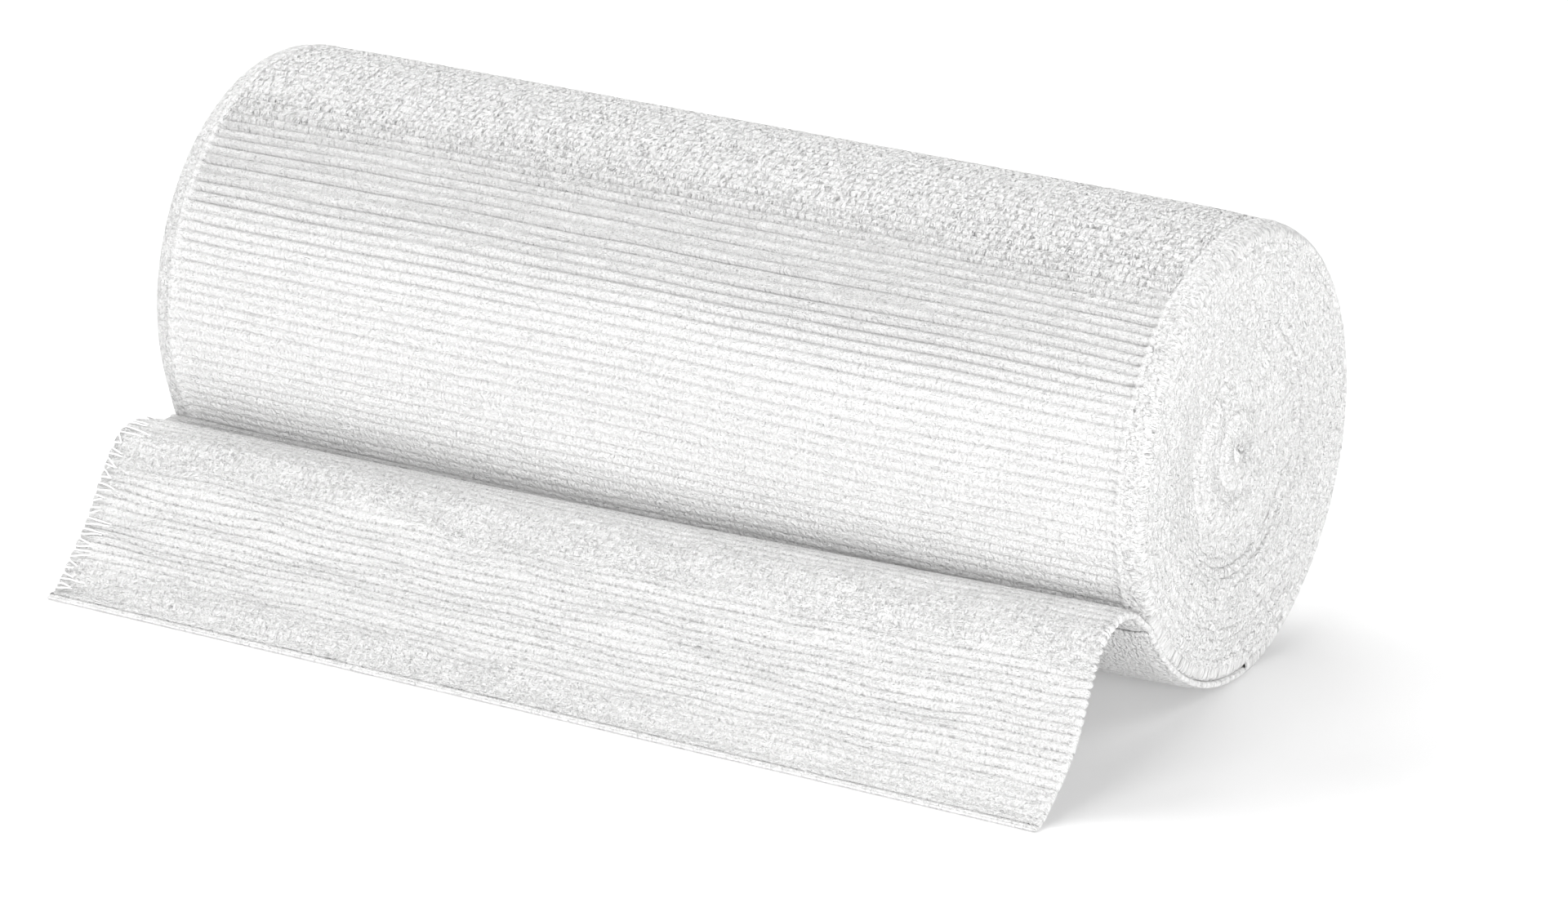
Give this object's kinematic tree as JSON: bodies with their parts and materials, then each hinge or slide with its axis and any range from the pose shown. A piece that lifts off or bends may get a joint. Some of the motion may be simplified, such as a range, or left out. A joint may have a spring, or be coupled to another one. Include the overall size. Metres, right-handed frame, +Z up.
{
  "type": "elastic bandage roll",
  "caption": "White ribbed crepe elastic bandage wound into a soft roll that lies on its side, its loose end over a low hump to a hem on the surface in front.",
  "frame": {"origin": "on the surface that the roll lies on, under the middle of the roll and its loose end together", "axes": "+X along the roll from its left end to its right end, +Z up from the surface, and the loose end lies towards -Y"},
  "size_m": [0.15, 0.0842, 0.0603],
  "materials": {
    "crepe_cotton": "matt white ribbed crepe weave"
  },
  "bodies": {
    "root": {"bandage": "crepe_cotton"}
  },
  "joints": []
}
